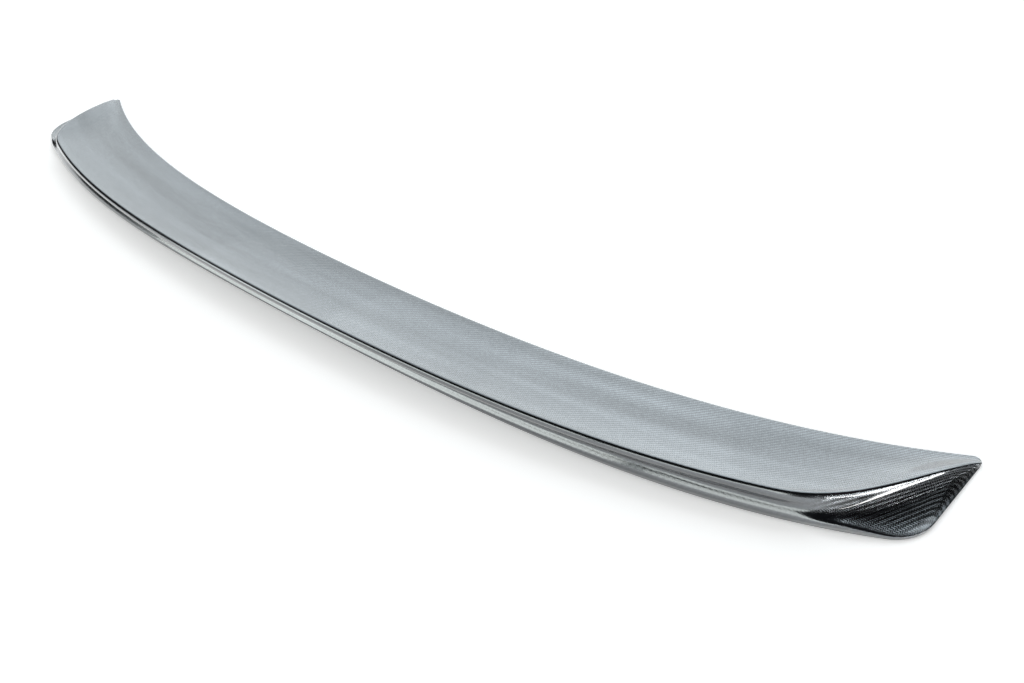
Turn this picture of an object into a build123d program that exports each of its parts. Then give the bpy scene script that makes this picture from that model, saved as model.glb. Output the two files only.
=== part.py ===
from build123d import *
import math
import os

# Boot-lid lip spoiler: one moulded carbon-fibre skin, open underneath.
# Millimetres. X runs along the span, +Y points to the front of the car, +Z up.
# The origin is under the middle of the spoiler, on the plane that its ends rest on.

# Plan view: the front edge bows rearwards between two swept-forward tips
half_span = 620.0
front_sweep = 123.0        # how far the front edge bows behind the tips
front_end_bend = 0.42      # share of that bow that is gathered near the ends
base_chord = 95.5          # front edge to rear base edge, at mid-span
base_sweep = 104.0         # how far the rear base edge comes forward by the ends
base_end_bend = 0.72       # share of that sweep that is gathered near the ends
lip_overhang = 14.0        # lip behind the rear base edge, at mid-span
lip_sweep = 127.0          # how far the lip comes forward by the ends
lip_end_bend = 0.53        # share of that sweep that is gathered near the ends
end_rake = 11.0            # degrees, end edges drawing in towards the rear
corner_radius = 40.0       # rear corner of the base
tip_radius = 5.5           # front tip
tip_flat = 4.0             # short straight left at the very end of each tip

# Height: the boot lid's crown lifts the middle, the lip stands on it
front_crown = 8.5          # rise of the front edge at mid-span
rear_crown = 5.3           # rise of the rear base edge at mid-span
lip_height = 31.0          # lip above the rear base edge, at mid-span
lip_fall = 3.0             # how much lower it would be at the ends
tip_height = 3.6           # what is left of the lip at the very tip
lip_run_out = 129.0        # length over which the lip sweeps forward to the tip
run_out_power = 2.3        # how late in that length the sweep happens

# Section: dished top, small lip radius, hollowed rear face, rounded foot
top_slope_front = 5.0      # degrees, top face at the front edge
top_slope_lip = 23.0       # degrees, top face where it meets the lip
top_slope_tip = 6.0        # degrees, the same at the tip
lip_radius = 3.0
lip_soften = 4.0           # extra lip radius part-way along the run-out
tip_lip_radius = 0.8
undercut_angle = 124.0     # degrees below level, rear face just under the lip
end_face_angle = 15.0      # degrees below level, the same on the end face
face_turn_start = 140.0    # from the tip, the length over which one turns into the other
face_turn_end = 25.0
cove_fullness = 0.45       # reach of the cove's tangents, share of its width
flange_fullness = 0.75     # the same for the lower tangent at the end
ledge_angle = 68.0         # degrees below level, where the cove meets the foot
flange_angle = 4.0         # degrees below level, the same on the end face
foot_height = 3.5          # rounded foot under the cove, at mid-span
foot_height_outer = 22.5   # what it would grow to by the ends
foot_height_end = 2.2      # what is left of it round the end
foot_run_out = 65.0        # length over which it falls to that
foot_angle = 96.0          # degrees below level, foot where it meets the underside
foot_fullness = 0.4        # reach of the foot's tangents, share of its height
ledge_inset = 1.5          # ledge inside the base edge, at mid-span
ledge_inset_end = 1.0
edge_thickness = 2.0       # trimmed front edge

# Shell
wall = 2.0
front_land = 16.0          # bonding land behind the front edge
rear_land = 10.0           # bonding land inside the rear base edge
hollow_end_gap = 55.0      # solid laminate left at each tip
hollow_overcut = 3.0       # the hollow is cut through past the underside
roof_places = (0.35, 0.55, 0.75, 0.9)   # shares of the top that the hollow's roof follows
back_places = (0.15, 0.35, 0.55, 0.75)   # shares of the cove that its back follows

# Mean distance between sections, which lie closer together towards the end
outer_spacing = 60.0
hollow_spacing = 60.0


def bowed(x, end_bend):
    # 0 at mid-span and 1 at the tip, flat in the middle
    u = x / half_span
    return (1 - end_bend) * u**2 + end_bend * u**4


def bow_angle(x, sweep, end_bend):
    u = x / half_span
    return math.atan(sweep / half_span * (2 * (1 - end_bend) * u + 4 * end_bend * u**3))


def blend(start, end, share):
    return start + (end - start) * share


def held(value):
    return min(max(value, 0), 1)


def eased(value):
    return held(value)**2 * (3 - 2 * held(value))


# Plan curves for x of 0 and up, before the ends are rounded; y is measured from the tips
def plain_front_y(x):
    return -front_sweep * (1 - bowed(x, front_end_bend))


def plain_base_y(x):
    return -front_sweep - base_chord + base_sweep * bowed(x, base_end_bend)


def plain_lip_y(x):
    return -front_sweep - base_chord - lip_overhang + lip_sweep * bowed(x, lip_end_bend)


# The tip is an arc that ends square to the span
tip_angle = bow_angle(half_span, front_sweep, front_end_bend)
tip_start = half_span - tip_radius * (1 + math.sin(tip_angle))
tip_centre_y = plain_front_y(tip_start) - tip_radius * math.cos(tip_angle)
end_y = tip_centre_y - tip_flat

# The rear corner is an arc between the rear base edge and the raked end edge
rake = math.radians(end_rake)
corner_guess = half_span - (end_y - plain_base_y(half_span)) * math.tan(rake)
corner_x = half_span - (end_y - plain_base_y(corner_guess)) * math.tan(rake)
corner_angle = bow_angle(corner_x, base_sweep, base_end_bend)
corner_tangent = corner_radius * math.tan((math.pi / 2 - rake - corner_angle) / 2)
corner_start = corner_x - corner_tangent * math.cos(corner_angle)
start_angle = bow_angle(corner_start, base_sweep, base_end_bend)
corner_centre_x = corner_start - corner_radius * math.sin(start_angle)
corner_centre_y = plain_base_y(corner_start) + corner_radius * math.cos(start_angle)
corner_end = corner_centre_x + corner_radius * math.cos(rake)
corner_end_y = corner_centre_y - corner_radius * math.sin(rake)

# The part is moved so that y is measured from its middle
middle_y = (plain_lip_y(0) + tip_centre_y + tip_radius) / 2


def front_y(x):
    if x <= tip_start:
        return plain_front_y(x) - middle_y
    run = x - (half_span - tip_radius)
    return tip_centre_y + math.sqrt(max(tip_radius**2 - run**2, 0)) - middle_y


def base_y(x):
    if x <= corner_start:
        return plain_base_y(x) - middle_y
    if x <= corner_end:
        run = x - corner_centre_x
        return corner_centre_y - math.sqrt(corner_radius**2 - run**2) - middle_y
    along = (x - corner_end) / (half_span - corner_end)
    return blend(corner_end_y, end_y, along) - middle_y


def heading(angle):
    # Unit direction, as (y, z), that goes rearwards and falls by the angle
    return Vector(-math.cos(math.radians(angle)), -math.sin(math.radians(angle)))


def outward(angle):
    # Unit normal of a face that falls rearwards by the angle
    return Vector(heading(angle).Y, -heading(angle).X)


def arc(centre, radius, start_angle, end_angle):
    # Rounded edge about the centre, from a face of one slope to a face of another
    reach = radius * 4 / 3 * math.tan(math.radians(end_angle - start_angle) / 4)
    start = centre + outward(start_angle) * radius
    end = centre + outward(end_angle) * radius
    return Bezier(start, start + heading(start_angle) * reach, end - heading(end_angle) * reach, end)


class Section:
    # One slice across the span, drawn in (y, z)
    def __init__(self, x):
        from_tip = half_span - x
        run_out = max(lip_run_out - from_tip, 0)
        share = (run_out / lip_run_out)**run_out_power
        crown_share = 1 - (x / half_span)**2
        self.front = Vector(front_y(x), front_crown * crown_share)
        self.base = Vector(base_y(x), rear_crown * crown_share)
        face_left = held((from_tip - face_turn_end) / (face_turn_start - face_turn_end))
        face_angle = blend(end_face_angle, undercut_angle, face_left)
        self.draw_top_and_lip(x, share, face_angle)
        self.draw_cove_and_foot(x, math.sqrt(share), face_angle, eased(run_out / foot_run_out))

    def draw_top_and_lip(self, x, share, face_angle):
        radius = blend(lip_radius, tip_lip_radius, share) + lip_soften * 4 * share * (1 - share)
        tip_lip_y = end_y + tip_flat / 2
        lip_y = blend(plain_lip_y(x), tip_lip_y, share) - middle_y
        straight_height = lip_height - lip_fall * (x / half_span)**2
        lip_z = self.base.Y + blend(straight_height, tip_height, share)
        centre = Vector(lip_y + radius, lip_z - radius)
        top_angle = -blend(top_slope_lip, top_slope_tip, share)
        nose_angle = (top_angle + face_angle) / 2
        top_start = self.front + Vector(0, edge_thickness)
        top_end = centre + outward(top_angle) * radius
        reach = (top_end - top_start).length / 3
        self.top = Bezier(
            top_start,
            top_start + heading(-top_slope_front) * reach,
            top_end - heading(top_angle) * reach,
            top_end,
        )
        self.lip_upper = arc(centre, radius, top_angle, nose_angle)
        self.lip_lower = arc(centre, radius, nose_angle, face_angle)
        self.inner_crest = centre + outward(nose_angle) * (radius - wall)

    def draw_cove_and_foot(self, x, turn, face_angle, foot_fade):
        cove_start = self.lip_lower @ 1
        straight_foot = blend(foot_height, foot_height_outer, (x / half_span)**2)
        foot = blend(straight_foot, foot_height_end, foot_fade)
        ledge = self.base + Vector(blend(ledge_inset, ledge_inset_end, turn), foot)
        ledge_way = blend(ledge_angle, flange_angle, foot_fade)
        width = (ledge - cove_start).length
        drop = cove_start.Y - ledge.Y

        def tangent(angle, fullness):
            # Reaches no lower than its share of the drop
            return heading(angle) * fullness * min(width, -drop / heading(angle).Y)

        self.cove = Bezier(
            cove_start,
            cove_start + tangent(face_angle, cove_fullness),
            ledge - tangent(ledge_way, blend(cove_fullness, flange_fullness, turn)),
            ledge,
        )
        self.foot = Bezier(
            ledge,
            ledge + heading(ledge_way) * foot * foot_fullness,
            self.base - heading(foot_angle) * foot * foot_fullness,
            self.base,
        )

    def outer(self):
        underside = Line(self.base, self.front)
        front_edge = Line(self.front, self.top @ 0)
        return Wire([
            self.top,
            self.lip_upper,
            self.lip_lower,
            self.cove,
            self.foot,
            underside,
            front_edge,
        ])

    def inside(self, edge, share):
        # A point one wall inside the drawn edge
        along = edge % share
        return (edge @ share) + Vector(-along.Y, along.X) * wall

    def hollow(self):
        land_end = self.inside(self.top, front_land / (self.front.X - (self.top @ 1).X))
        front_foot = Vector(land_end.X, self.front.Y - hollow_overcut)
        rear_foot = Vector(self.base.X + rear_land, self.base.Y - hollow_overcut)
        under_top = [self.inside(self.top, place) for place in roof_places]
        under_cove = [self.inside(self.cove, place) for place in back_places]
        corners = [front_foot, land_end, *under_top, self.inner_crest, *under_cove, rear_foot]
        return Wire.make_polygon(corners)


def slice_plane(x):
    return Plane(origin=(x, 0, 0), x_dir=(0, 1, 0), z_dir=(1, 0, 0))


def span_loft(reach, spacing, wire_of, ruled=False):
    # Lofts the sections from one end of the reach to the other
    sections = round(reach * math.pi / 2 / spacing)
    places = [reach * math.sin(math.pi / 2 * step / sections) for step in range(-sections, sections + 1)]
    return Solid.make_loft([slice_plane(x) * wire_of(Section(abs(x))) for x in places], ruled)


def spoiler_skin():
    outer = span_loft(half_span, outer_spacing, Section.outer)
    hollow = span_loft(half_span - hollow_end_gap, hollow_spacing, Section.hollow, ruled=True)
    return outer - hollow


os.makedirs("parts", exist_ok=True)
skin = spoiler_skin()
print("spoiler_skin", skin.is_valid, round(skin.volume), skin.bounding_box())
export_step(skin, "parts/spoiler_skin.step")
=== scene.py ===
import math

import bmesh
import bpy
from mathutils import Euler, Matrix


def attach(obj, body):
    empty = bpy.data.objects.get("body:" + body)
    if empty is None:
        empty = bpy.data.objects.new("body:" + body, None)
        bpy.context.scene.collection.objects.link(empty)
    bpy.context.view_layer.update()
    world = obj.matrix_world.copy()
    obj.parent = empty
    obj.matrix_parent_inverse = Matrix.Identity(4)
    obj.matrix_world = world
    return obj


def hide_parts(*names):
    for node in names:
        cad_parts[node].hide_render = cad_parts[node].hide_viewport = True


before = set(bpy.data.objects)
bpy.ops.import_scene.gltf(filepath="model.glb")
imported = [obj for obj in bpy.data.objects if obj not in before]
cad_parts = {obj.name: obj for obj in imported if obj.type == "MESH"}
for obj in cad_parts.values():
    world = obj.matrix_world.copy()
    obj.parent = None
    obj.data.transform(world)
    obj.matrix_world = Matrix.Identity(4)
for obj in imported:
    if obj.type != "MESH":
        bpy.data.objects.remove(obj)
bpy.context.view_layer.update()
scene = bpy.context.scene
scene.view_settings.view_transform = "Standard"
millimetre = 0.001       # in metres
degree = math.pi / 180   # in radians


def linear(hexText):
    # a colour written as the eye sees it, turned into the shader's linear light
    parts = [int(hexText[start:start + 2], 16) / 255 for start in (1, 3, 5)]
    return [c / 12.92 if c <= 0.04045 else ((c + 0.055) / 1.055) ** 2.4 for c in parts]


def plug(tree, socket, value):
    # links what comes from another node, and sets anything else as the socket's constant
    if isinstance(value, Number):
        value = value.socket
    if isinstance(value, bpy.types.NodeSocket):
        tree.links.new(value, socket)
    else:
        socket.default_value = value


def addNode(tree, kind, inputs=None, **settings):
    node = tree.nodes.new(kind)
    for name, value in settings.items():
        setattr(node, name, value)
    for name, value in (inputs or {}).items():
        plug(tree, node.inputs[name], value)
    return node


class Number:
    # a number inside a node tree, so that the rules below read as ordinary sums
    def __init__(self, tree, socket):
        self.tree = tree
        self.socket = socket

    def inOrder(self, operation, *values):
        node = addNode(self.tree, "ShaderNodeMath", dict(enumerate(values)), operation=operation)
        return Number(self.tree, node.outputs[0])

    def do(self, operation, *others):
        return self.inOrder(operation, self, *others)

    def __add__(self, other):
        return self.do("ADD", other)

    def __sub__(self, other):
        return self.do("SUBTRACT", other)

    def __rsub__(self, other):
        return self.inOrder("SUBTRACT", other, self)

    def __mul__(self, other):
        return self.do("MULTIPLY", other)

    def __truediv__(self, other):
        return self.do("DIVIDE", other)

    def __pow__(self, other):
        return self.do("POWER", other)

    def __neg__(self):
        return self.do("MULTIPLY", -1.0)


def root(a):
    return a.do("SQRT")


def sine(a):
    return a.do("SINE")


def cosine(a):
    return a.do("COSINE")


def most(a, b):
    return a.do("MAXIMUM", b)


def least(a, b):
    return a.do("MINIMUM", b)


def beyond(a, limit):
    return a.do("GREATER_THAN", limit)


def blend(a, b, share):
    return a + (b - a) * share


def eased(a):
    # 0 to 1 with a soft start and end; the number given is never below 0
    held = least(a, 1.0)
    return held * held * (3 - held * 2)


class Point:
    # a place on one slice across the span: y to the front of the car, z up
    def __init__(self, y, z):
        self.y = y
        self.z = z

    def __add__(self, other):
        return Point(self.y + other.y, self.z + other.z)

    def __sub__(self, other):
        return Point(self.y - other.y, self.z - other.z)

    def __mul__(self, size):
        return Point(self.y * size, self.z * size)

    def length(self):
        return root(self.y * self.y + self.z * self.z)


def heading(angle):
    # goes rearwards and falls by the angle, given in degrees
    turned = angle * degree
    return Point(-cosine(turned), -sine(turned))


def outward(angle):
    ahead = heading(angle)
    return Point(ahead.z, -ahead.y)


def bezier(a, b, c, d, t):
    s = 1 - t
    return a * (s * s * s) + b * (s * s * t * 3) + c * (s * t * t * 3) + d * (t * t * t)


# Spoiler skin, in millimetres and degrees; a reach, limit or sag is a share of what it belongs to
skin = {
    # plan view
    "half span": 620.0, "front sweep": 123.0, "front end bend": 0.42,
    "base chord": 95.5, "base sweep": 106.5, "base end bend": 0.72,
    "lip overhang": 14.0, "lip sweep": 127.0, "lip end bend": 0.53,
    "end rake": 11.0, "corner radius": 50.0, "tip radius": 5.5, "tip flat": 4.0,
    # heights
    "front crown": 8.5, "rear crown": 5.3, "lip height": 31.0, "lip fall": 3.0,
    "tip height": 3.6, "lip run out": 129.0, "run out power": 2.5,
    # top and lip
    "top slope front": 5.0, "top slope lip": 23.0, "top slope tip": 6.0,
    "lip radius": 3.0, "lip soften": 4.0, "tip lip radius": 0.8,
    # rear face and end face
    "undercut angle": 86.0, "corner face angle": 49.0, "end face angle": 21.0,
    "face turn start": 160.0, "face turn end": 105.0,
    "cove fullness": 0.45, "flange fullness": 0.64,
    "ledge angle": 51.0, "flange angle": 1.0, "flange start": 22.0, "flange run out": 38.0,
    # foot
    "foot height": 3.5, "foot height outer": 22.5, "foot height end": 3.5, "foot run out": 110.0,
    "foot limit": 0.4, "foot angle": 96.0, "foot reach ledge": 0.7, "foot reach base": 0.25,
    "ledge inset": 1.5, "ledge inset end": 1.0,
    # front edge, bonding lands and hollow
    "edge thickness": 2.0, "edge round": 0.7, "edge swell": 0.15, "wall": 2.0,
    "front land": 16.0, "front land limit": 0.4, "rear land": 10.0, "rear land limit": 0.25,
    "hollow end gap": 55.0, "inner crest least": 0.3,
    "back reach low": 0.6, "back reach crest": 0.5,
    "roof reach crest": 0.3, "roof sag crest": 0.12, "roof reach land": 0.35, "roof sag land": 0.1,
    # lengths of cloth round the lip and inside, and where it starts on the underside
    "lip girth": 8.0, "back girth": 40.0, "front wall girth": 4.0,
    "cloth to land": 60.0, "cloth to hollow": 80.0,
    # how deep the cloth shows, and from half depth on how much painted shade darkens it: deepest on the
    # end faces, with its rise and fall down the face, so the lip and the flange below are left lighter
    "depth top": 0.5, "depth rear": 0.15, "depth lip end": 0.3, "depth and shade end": 1.0,
    "depth rise": 6.0, "depth fall": 5.0,
}
skinMesh = {"middle stations": 260, "end stations": 60, "weld": 0.008 * millimetre, "smooth angle": 40.0}

tree = bpy.data.node_groups.new("spoilerSkin", "GeometryNodeTree")
identifiers = {}
for name in skin:
    socket = tree.interface.new_socket(name=name, in_out="INPUT", socket_type="NodeSocketFloat")
    identifiers[name] = socket.identifier
tree.interface.new_socket(name="skin", in_out="OUTPUT", socket_type="NodeSocketGeometry")
given = addNode(tree, "NodeGroupInput")
size = {name: Number(tree, given.outputs[name]) for name in skin}

# Every strip starts as a flat sheet: its x is the place along the span, its y runs 0 to 1 across
placeNode = addNode(tree, "GeometryNodeInputPosition")
placeSplit = addNode(tree, "ShaderNodeSeparateXYZ", {"Vector": placeNode.outputs[0]})
x = Number(tree, placeSplit.outputs[0])
t = Number(tree, placeSplit.outputs[1])
across = x.do("ABSOLUTE")
halfSpan = size["half span"]
u = across / halfSpan
one = halfSpan / halfSpan
none = one * 0.0
lift = Point(none, one)
lay = Point(one, none)


def bowed(v, bend):
    # 0 at mid-span and 1 at the tip, flat in the middle
    squared = v * v
    return squared * (1 - bend) + squared * squared * bend


def bowAngle(v, sweep, bend):
    slope = (v * (1 - bend) * 2 + v * v * v * bend * 4) * sweep / halfSpan
    return slope.do("ARCTANGENT")


def frontPlain(v):
    return (bowed(v, size["front end bend"]) - 1) * size["front sweep"]


def basePlain(v):
    start = size["front sweep"] + size["base chord"]
    return bowed(v, size["base end bend"]) * size["base sweep"] - start


def lipPlain(v):
    start = size["front sweep"] + size["base chord"] + size["lip overhang"]
    return bowed(v, size["lip end bend"]) * size["lip sweep"] - start


# Tip and rear corner of the plan view
tipRadius = size["tip radius"]
tipAngle = bowAngle(one, size["front sweep"], size["front end bend"])
tipStart = halfSpan - tipRadius * (sine(tipAngle) + 1)
tipCentreY = frontPlain(tipStart / halfSpan) - tipRadius * cosine(tipAngle)
endY = tipCentreY - size["tip flat"]
rake = size["end rake"] * degree
rakeTan = rake.do("TANGENT")
cornerGuess = halfSpan - (endY - basePlain(one)) * rakeTan
cornerX = halfSpan - (endY - basePlain(cornerGuess / halfSpan)) * rakeTan
baseBow = (size["base sweep"], size["base end bend"])
cornerAngle = bowAngle(cornerX / halfSpan, *baseBow)
cornerRadius = size["corner radius"]
cornerTangent = cornerRadius * ((math.pi / 2 - rake - cornerAngle) * 0.5).do("TANGENT")
cornerStart = cornerX - cornerTangent * cosine(cornerAngle)
startAngle = bowAngle(cornerStart / halfSpan, *baseBow)
cornerCentreX = cornerStart - cornerRadius * sine(startAngle)
cornerCentreY = basePlain(cornerStart / halfSpan) + cornerRadius * cosine(startAngle)
cornerEnd = cornerCentreX + cornerRadius * cosine(rake)
cornerEndY = cornerCentreY - cornerRadius * sine(rake)
middleY = (lipPlain(none) + tipCentreY + tipRadius) * 0.5


def roundY(centreY, centreX, radius, side):
    run = across - centreX
    return centreY + root(most(radius * radius - run * run, 0.0)) * side


tipY = roundY(tipCentreY, halfSpan - tipRadius, tipRadius, 1.0)
frontY = blend(frontPlain(u), tipY, beyond(across, tipStart)) - middleY
rakedY = blend(cornerEndY, endY, (across - cornerEnd) / (halfSpan - cornerEnd))
cornerY = roundY(cornerCentreY, cornerCentreX, cornerRadius, -1.0)
outerY = blend(cornerY, rakedY, beyond(across, cornerEnd))
baseY = blend(basePlain(u), outerY, beyond(across, cornerStart)) - middleY

# One slice across the span
fromTip = halfSpan - across
intoRunOut = most(across - (halfSpan - size["lip run out"]), 0.0)
share = (intoRunOut / size["lip run out"]) ** size["run out power"]
turn = root(share)
footFade = eased(intoRunOut / size["foot run out"])
flangeFade = eased(most(intoRunOut - size["flange start"], 0.0) / size["flange run out"])
turnLength = size["face turn start"] - size["face turn end"]
undercut = eased(most((fromTip - size["face turn end"]) / turnLength, 0.0))
towardMiddle = least(fromTip / size["face turn end"], 1.0)
cornerFace = blend(size["end face angle"], size["corner face angle"], towardMiddle)
faceAngle = blend(cornerFace, size["undercut angle"], undercut)
ledgeAngle = blend(size["ledge angle"], size["flange angle"], flangeFade)
crown = 1 - u * u
front = Point(frontY, crown * size["front crown"])
base = Point(baseY, crown * size["rear crown"])

# Top and lip
lipSwell = size["lip soften"] * 4 * share * (1 - share)
lipRadius = blend(size["lip radius"], size["tip lip radius"], share) + lipSwell
lipY = blend(lipPlain(u), endY + size["tip flat"] * 0.5, share) - middleY
lipZ = base.z + blend(size["lip height"] - size["lip fall"] * u * u, size["tip height"], share)
lipCentre = Point(lipY + lipRadius, lipZ - lipRadius)
topAngle = -blend(size["top slope lip"], size["top slope tip"], share)
edgeTop = Point(front.y - size["edge round"], front.z + size["edge thickness"])
topEnd = lipCentre + outward(topAngle) * lipRadius
topLength = (topEnd - edgeTop).length()
topReach = topLength / 3
topInner = edgeTop + heading(-size["top slope front"]) * topReach
topOuter = topEnd - heading(topAngle) * topReach
lipEnd = lipCentre + outward(faceAngle) * lipRadius


def topCurve(k):
    return bezier(edgeTop, topInner, topOuter, topEnd, k)


# Rear face and foot; near the tip the foot is held below the lip
straightFoot = blend(size["foot height"], size["foot height outer"], u * u)
freeFoot = blend(straightFoot, size["foot height end"], footFade)
footHeight = least(freeFoot, (lipZ - base.z) * size["foot limit"])
ledgeInset = blend(size["ledge inset"], size["ledge inset end"], turn)
ledge = Point(base.y + ledgeInset, base.z + footHeight)
coveLength = (ledge - lipEnd).length()
coveDrop = lipEnd.z - ledge.z
footLength = (base - ledge).length()


def coveTangent(angle, fullness):
    # reaches no lower than its share of the drop
    ahead = heading(angle)
    return ahead * (least(coveLength, -coveDrop / ahead.z) * fullness)


lowFullness = blend(size["cove fullness"], size["flange fullness"], turn)
underLip = lipEnd + coveTangent(faceAngle, size["cove fullness"])
overLedge = ledge - coveTangent(ledgeAngle, lowFullness)
underLedge = ledge + heading(ledgeAngle) * (footHeight * size["foot reach ledge"])
overBase = base - heading(size["foot angle"]) * (footHeight * size["foot reach base"])


def underside(y):
    return Point(y, base.z + (front.z - base.z) * (y - base.y) / (front.y - base.y))


# The bonding lands narrow with the skin towards the tip
width = front.y - base.y
rearFoot = underside(base.y + least(size["rear land"], width * size["rear land limit"]))
frontFoot = underside(front.y - least(size["front land"], width * size["front land limit"]))
edgeLow = front - lay * size["edge round"]
edgeOut = front + lay * size["edge swell"]

# Hollow
noseWay = outward((topAngle + faceAngle) * 0.5)
innerCrest = lipCentre + noseWay * most(lipRadius - size["wall"], size["inner crest least"])
landRoof = topCurve(size["front land"] / (front.y - topEnd.y))
landEnd = Point(landRoof.y, landRoof.z - size["wall"])
crestHeight = innerCrest.z - rearFoot.z
backLow = rearFoot + lift * (crestHeight * size["back reach low"])
backHigh = innerCrest - noseWay * (crestHeight * size["back reach crest"])
roofRun = landEnd - innerCrest
roofRear = innerCrest + roofRun * size["roof reach crest"] - lift * (crestHeight * size["roof sag crest"])
roofFront = landEnd - roofRun * size["roof reach land"] - lift * (crestHeight * size["roof sag land"])

rearDepth = blend(size["depth rear"], size["depth lip end"], flangeFade)
downFace = least(t * size["depth rise"], 1.0) * least((1 - t) * size["depth fall"], 1.0)
# painted shade: the end face's cove takes full depth, which draws it darker; the rise and fall down the
# face leave the lip and the flange lighter
coveDepthAndShade = blend(rearDepth, size["depth and shade end"], flangeFade * downFace)
lipTurn = (faceAngle - topAngle) * degree
lipCloth = topLength + size["lip girth"]

# Each strip's place, its distance along the cloth, how deep the cloth shows (which also sets its painted
# shade), and its rows of points
outerStrips = (
    (topCurve(t), topLength * t, size["depth top"], 60),
    (lipCentre + outward(blend(topAngle, faceAngle, t)) * lipRadius,
     topLength + lipRadius * lipTurn * t, rearDepth, 18),
    (bezier(lipEnd, underLip, overLedge, ledge, t), lipCloth + coveLength * t, coveDepthAndShade, 32),
    (bezier(ledge, underLedge, overBase, base, t), lipCloth + coveLength + footLength * t, rearDepth, 16),
    (base + (rearFoot - base) * t,
     topLength + size["cloth to land"] + t * size["rear land"], size["depth top"], 5),
    (frontFoot + (edgeLow - frontFoot) * t, t * size["front land"], size["depth top"], 6),
    (bezier(edgeLow, edgeOut, edgeOut + lift * size["edge thickness"], edgeTop, t),
     -t * size["edge thickness"], size["depth top"], 7),
)
# The hollow's strips lie flat across its mouth at the solid ends, each on its own share of it
hollowStrips = (
    (bezier(rearFoot, backLow, backHigh, innerCrest, t),
     topLength + size["cloth to hollow"] + t * size["back girth"], 20, (0.0, 0.3)),
    (bezier(innerCrest, roofRear, roofFront, landEnd, t), topLength * t, 30, (0.3, 0.97)),
    (landEnd + (frontFoot - landEnd) * t, t * size["front wall girth"], 3, (0.97, 1.0)),
)
reach = halfSpan - size["hollow end gap"]


def middlePlace(k):
    return reach * (k * 2 - 1)


def rightPlace(k):
    return reach + size["hollow end gap"] * sine(k * (math.pi / 2))


def leftPlace(k):
    return -rightPlace(k)


def sheet(rows, stations, where):
    # a grid one unit wide about the origin, moved to its stretch of the span
    grid = addNode(tree, "GeometryNodeMeshGrid",
                   {"Size X": 1.0, "Size Y": 1.0, "Vertices X": stations, "Vertices Y": rows})
    spot = addNode(tree, "ShaderNodeCombineXYZ", {"X": where(x + 0.5), "Y": t + 0.5})
    return addNode(tree, "GeometryNodeSetPosition",
                   {"Geometry": grid.outputs["Mesh"], "Position": spot.outputs[0]})


def middleSheet(rows):
    return sheet(rows, skinMesh["middle stations"], middlePlace)


def endSheets(rows):
    return [sheet(rows, skinMesh["end stations"], where) for where in (rightPlace, leftPlace)]


def joinedUp(parts):
    joined = addNode(tree, "GeometryNodeJoinGeometry")
    for part in parts:
        tree.links.new(part.outputs[0], joined.inputs[0])
    return joined


def laid(sheets, place, cloth, depth):
    # keeps where each corner lies on the cloth, then bends the flat sheets to their place
    weave = addNode(tree, "ShaderNodeCombineXYZ", {"X": x * millimetre, "Y": cloth * millimetre})
    woven = addNode(tree, "GeometryNodeStoreNamedAttribute",
                    {"Geometry": joinedUp(sheets).outputs[0], "Name": "weave", "Value": weave.outputs[0]},
                    data_type="FLOAT2", domain="CORNER")
    # stores how deep the cloth shows, which also sets the painted shade on it
    deep = addNode(tree, "GeometryNodeStoreNamedAttribute",
                   {"Geometry": woven.outputs[0], "Name": "weaveDepthAndShade", "Value": depth},
                   data_type="FLOAT", domain="CORNER")
    spot = addNode(tree, "ShaderNodeCombineXYZ",
                   {"X": x * millimetre, "Y": place.y * millimetre, "Z": place.z * millimetre})
    return addNode(tree, "GeometryNodeSetPosition",
                   {"Geometry": deep.outputs[0], "Position": spot.outputs[0]})


pieces = []
for place, cloth, depth, rows in outerStrips:
    pieces.append(laid([middleSheet(rows)] + endSheets(rows), place, cloth, depth))
for place, cloth, rows, (mouthStart, mouthEnd) in hollowStrips:
    mouth = rearFoot + (frontFoot - rearFoot) * (t * (mouthEnd - mouthStart) + mouthStart)
    pieces.append(laid([middleSheet(rows)], place, cloth, size["depth top"]))
    pieces.append(laid(endSheets(rows), mouth, cloth, size["depth top"]))
welded = addNode(tree, "GeometryNodeMergeByDistance",
                 {"Geometry": joinedUp(pieces).outputs[0], "Distance": skinMesh["weld"]})
print("skin tree:", len(tree.nodes), "nodes")

# Carbon fibre: 2 by 2 twill laid up in a mould under smooth clear gloss. It shows grey where it
# mirrors a bright wall and near black elsewhere, with a white line where it mirrors a narrow lamp.
# On the end faces it is drawn darker with painted shade, and in deeper twill rows.
twillCloth = {
    "grey": "#6d7073", "metallic": 1.0, "roughness": 0.2,
    "coat": 1.0, "coat roughness": 0.06, "coat ior": 1.5,
    "tow width": 1.3 * millimetre, "bump strength": 0.6, "bump distance": 0.3 * millimetre,
    "twill repeat": 4.0, "last warp step": 1.5, "twill contrast": 1.625,
    "speckle": 0.05, "speckle by depth": 0.6, "shade start": 0.5, "shade": 1.2,
    # soft bands that the resin leaves: waves to the metre along and across, detail and strength
    "broad bands": (3.0, 34.0, 1.5, 1.5), "fine bands": (14.0, 120.0, 2.0, 0.2),
}
carbon = bpy.data.materials.new("carbonTwill")
carbon.use_nodes = True
clothTree = carbon.node_tree
clothTree.nodes.clear()
weaveMap = addNode(clothTree, "ShaderNodeUVMap", uv_map="weave")
weaveSplit = addNode(clothTree, "ShaderNodeSeparateXYZ", {"Vector": weaveMap.outputs[0]})
alongSpan = Number(clothTree, weaveSplit.outputs[0])
alongChord = Number(clothTree, weaveSplit.outputs[1])
depthMap = addNode(clothTree, "ShaderNodeAttribute", attribute_name="weaveDepthAndShade")
clothDepthAndShade = Number(clothTree, depthMap.outputs["Fac"])
weft = alongSpan / twillCloth["tow width"]
warp = alongChord / twillCloth["tow width"]
weftNumber = weft.do("FLOOR")
warpNumber = warp.do("FLOOR")
twillStep = (weftNumber + warpNumber).do("FLOORED_MODULO", twillCloth["twill repeat"])
warpUp = 1 - beyond(twillStep, twillCloth["last warp step"])


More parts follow.
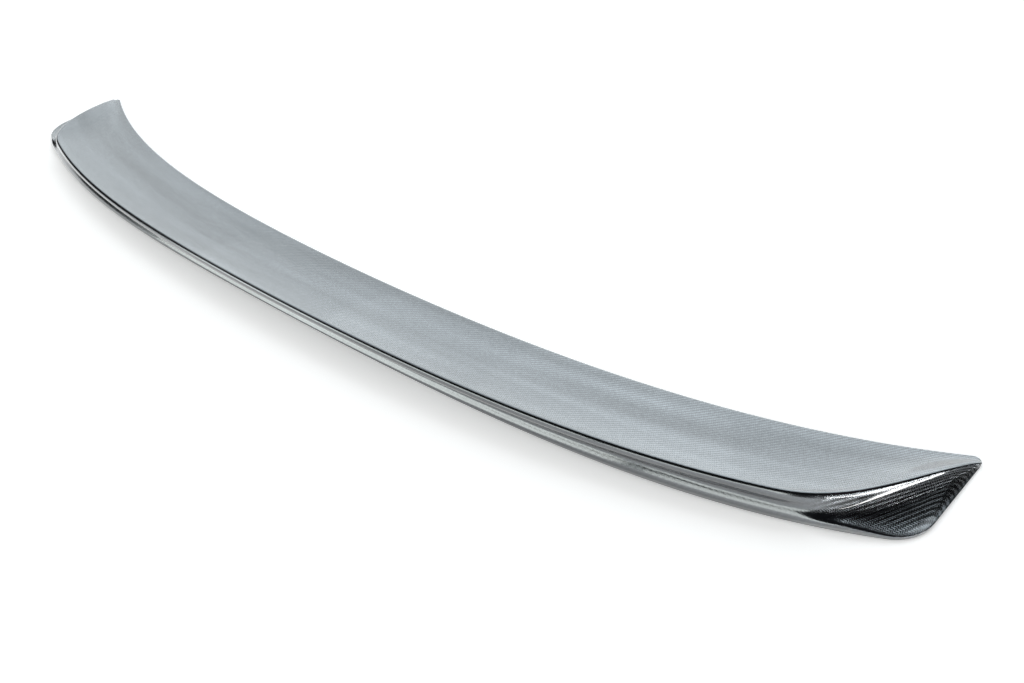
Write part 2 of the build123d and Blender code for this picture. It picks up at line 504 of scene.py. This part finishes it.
def arched(a):
    # rounds a tow across its width
    return 1 - (a.do("FRACT") * 2 - 1) ** 2


towBump = addNode(clothTree, "ShaderNodeBump", {
    "Strength": clothDepthAndShade * twillCloth["bump strength"], "Distance": twillCloth["bump distance"],
    "Height": blend(arched(weft), arched(warp), warpUp)})


def drawnOut(alongScale, acrossScale, detail, strength):
    spread = addNode(clothTree, "ShaderNodeCombineXYZ",
                     {"X": alongSpan * alongScale, "Y": alongChord * acrossScale})
    noise = addNode(clothTree, "ShaderNodeTexNoise",
                    {"Vector": spread.outputs[0], "Scale": 1.0, "Detail": detail})
    return (Number(clothTree, noise.outputs[0]) - 0.5) * strength


crossing = addNode(clothTree, "ShaderNodeCombineXYZ", {"X": weftNumber, "Y": warpNumber})
grain = addNode(clothTree, "ShaderNodeTexWhiteNoise", {"Vector": crossing.outputs[0]})
speckleDepth = clothDepthAndShade * twillCloth["speckle by depth"] + twillCloth["speckle"]
speckle = (Number(clothTree, grain.outputs[0]) - 0.5) * speckleDepth
bands = drawnOut(*twillCloth["broad bands"]) + drawnOut(*twillCloth["fine bands"])
twill = (warpUp - 0.5) * clothDepthAndShade * clothDepthAndShade * twillCloth["twill contrast"] + 1
# painted shade: where the cloth shows deepest, on the end faces, its colour is drawn darker, down to 0.4
# of its grey
shade = 1 - most(clothDepthAndShade - twillCloth["shade start"], 0.0) * twillCloth["shade"]
tone = twill * (bands + 1 + speckle) * shade
red, green, blue = linear(twillCloth["grey"])
towColour = addNode(clothTree, "ShaderNodeCombineColor",
                    {"Red": tone * red, "Green": tone * green, "Blue": tone * blue})
gloss = addNode(clothTree, "ShaderNodeBsdfPrincipled", {
    "Base Color": towColour.outputs[0], "Normal": towBump.outputs[0],
    "Metallic": twillCloth["metallic"], "Roughness": twillCloth["roughness"],
    "Coat Weight": twillCloth["coat"], "Coat Roughness": twillCloth["coat roughness"],
    "Coat IOR": twillCloth["coat ior"]})
addNode(clothTree, "ShaderNodeOutputMaterial", {"Surface": gloss.outputs[0]})
print("carbon twill:", len(clothTree.nodes), "nodes")

solid = addNode(tree, "GeometryNodeRealizeInstances", {"Geometry": welded.outputs[0]})
painted = addNode(tree, "GeometryNodeSetMaterial", {"Geometry": solid.outputs[0], "Material": carbon})
treeEnd = addNode(tree, "NodeGroupOutput")
tree.links.new(painted.outputs[0], treeEnd.inputs[0])

# The tree's result becomes a plain mesh, and the tips are closed
holder = bpy.data.objects.new("skinHolder", bpy.data.meshes.new("skinHolder"))
scene.collection.objects.link(holder)
grower = holder.modifiers.new("skin", "NODES")
grower.node_group = tree
for name, value in skin.items():
    grower[identifiers[name]] = value
bpy.context.view_layer.update()
grown = bpy.data.meshes.new_from_object(holder.evaluated_get(bpy.context.evaluated_depsgraph_get()))
holder.modifiers.remove(grower)
bpy.data.objects.remove(holder)
spoiler = bpy.data.objects.new("spoilerSkin", grown)
scene.collection.objects.link(spoiler)
body = bmesh.new()
body.from_mesh(grown)
bmesh.ops.holes_fill(body, edges=[edge for edge in body.edges if edge.is_boundary], sides=0)
bmesh.ops.recalc_face_normals(body, faces=body.faces)
leftOpen = [edge for edge in body.edges if not edge.is_manifold]
print("spoiler skin:", len(body.faces), "faces,", len(leftOpen), "open edges left")
body.to_mesh(grown)
body.free()
grown.polygons.foreach_set("use_smooth", [True] * len(grown.polygons))
grown.set_sharp_from_angle(angle=skinMesh["smooth angle"] * degree)
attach(spoiler, "root")
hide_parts("spoiler_skin")

# Floor: white matt paper that keeps the soft shadow, in metres
paperSheet = {"half side": 14.0, "drop": 0.0002, "white": "#f9f9f9", "glow": 0.36}
half = paperSheet["half side"]
floorMesh = bpy.data.meshes.new("floor")
floorMesh.from_pydata([(-half, -half, 0), (half, -half, 0), (half, half, 0), (-half, half, 0)],
                      [], [(0, 1, 2, 3)])
floor = bpy.data.objects.new("floor", floorMesh)
floor.location.z = -paperSheet["drop"]
scene.collection.objects.link(floor)
paper = bpy.data.materials.new("whitePaper")
paper.use_nodes = True
paperTree = paper.node_tree
paperTree.nodes.clear()
rays = addNode(paperTree, "ShaderNodeLightPath")
cameraRay = Number(paperTree, rays.outputs["Is Camera Ray"])
mirrorRay = Number(paperTree, rays.outputs["Is Glossy Ray"])
seen = most(most(cameraRay, mirrorRay), Number(paperTree, rays.outputs["Is Transmission Ray"]))
matt = addNode(paperTree, "ShaderNodeBsdfDiffuse", {"Color": linear(paperSheet["white"]) + [1.0]})
glow = addNode(paperTree, "ShaderNodeEmission",
               {"Color": (1, 1, 1, 1), "Strength": seen * paperSheet["glow"]})
both = addNode(paperTree, "ShaderNodeAddShader", {0: matt.outputs[0], 1: glow.outputs[0]})
addNode(paperTree, "ShaderNodeOutputMaterial", {"Surface": both.outputs[0]})
floorMesh.materials.append(paper)
print("floor laid")


def panel(name, place, aim, width, height, brightness, colour=(1, 1, 1), mirrored=True):
    # a soft box of the given brightness, facing the aim point
    lamp = bpy.data.lights.new(name, "AREA")
    lamp.shape = "RECTANGLE"
    lamp.size = width
    lamp.size_y = height
    lamp.energy = brightness * math.pi * width * height
    lamp.color = colour
    box = bpy.data.objects.new(name, lamp)
    box.location = place
    box.visible_glossy = mirrored
    toward = [a - b for a, b in zip(aim, place)]
    flat = math.hypot(toward[0], toward[1])
    turned = math.atan2(toward[1], toward[0]) - math.pi / 2
    box.rotation_euler = Euler((math.atan2(flat, -toward[2]), 0, turned))
    scene.collection.objects.link(box)


# A wall of light in front of the car fades to its left in upright strips: start, end and brightness
lightWall = {
    "middle": (-0.65, 2.93), "way": (0.848, 0.53), "height": 8.0, "level": 3.9, "lean": 0.04,
    "colour": (0.9, 0.97, 1.0),
    "strips": ((-3.8, -3.2, 0.95), (-3.2, -2.6, 1.05), (-2.6, -2.0, 1.2), (-2.0, -1.4, 1.4),
               (-1.4, -0.7, 1.72), (-0.7, 0.4, 1.92), (0.4, 3.1, 1.7)),
}
wayX, wayY = lightWall["way"]
for start, end, brightness in lightWall["strips"]:
    spotX = lightWall["middle"][0] + wayX * (start + end) / 2
    spotY = lightWall["middle"][1] + wayY * (start + end) / 2
    aim = (spotX + wayY, spotY - wayX, lightWall["level"] - lightWall["lean"])
    panel("wallOfLight", (spotX, spotY, lightWall["level"]), aim, end - start,
          lightWall["height"], brightness, lightWall["colour"])

# Two low strips light the rear face, a high box whitens the paper and keeps the shadow close,
# and a narrow band draws the white line under the right end of the lip
softBoxes = {
    "lowStrip": {"place": (-1.3, -2.6, 0.68), "aim": (0, 0, 0.3), "width": 3.4, "height": 1.34,
                 "brightness": 3.2, "colour": (0.97, 1.0, 0.95)},
    "lowStripRight": {"place": (1.5, -2.9, 0.6), "aim": (0.4, 0, 0.3), "width": 2.2, "height": 1.2,
                      "brightness": 2.4, "colour": (0.97, 1.0, 0.95)},
    "overhead": {"place": (0, 0, 3.2), "aim": (0, 0.001, 0), "width": 4.0, "height": 4.0,
                 "brightness": 1.0, "mirrored": False},
    "rightBand": {"place": (2.6, 0.02, 0.205), "aim": (0.56, 0, 0.1), "width": 1.75, "height": 0.08,
                  "brightness": 26.0},
}
for name, settings in softBoxes.items():
    panel(name, **settings)

# The room beyond the lamps is nearly dark
darkRoom = (0.016, 0.017, 0.02, 1)
world = bpy.data.worlds.new("room")
scene.world = world
world.use_nodes = True
world.node_tree.nodes["Background"].inputs["Color"].default_value = darkRoom
print("lamps placed:", len(bpy.data.lights))

# Camera solved from the photo: focal length and width in pixels, place in metres, angles in degrees
photoView = {"focal": 825.12, "width": 1024, "sensor": 36.0, "place": (0.57620, -0.50120, 0.52625),
             "down": 39.942, "turn": 36.178}
eye = bpy.data.cameras.new("photoCamera")
eye.sensor_width = photoView["sensor"]
eye.lens = photoView["focal"] / photoView["width"] * photoView["sensor"]
camera = bpy.data.objects.new("photoCamera", eye)
camera.location = photoView["place"]
camera.rotation_euler = ((90 - photoView["down"]) * degree, 0, photoView["turn"] * degree)
scene.collection.objects.link(camera)
scene.camera = camera
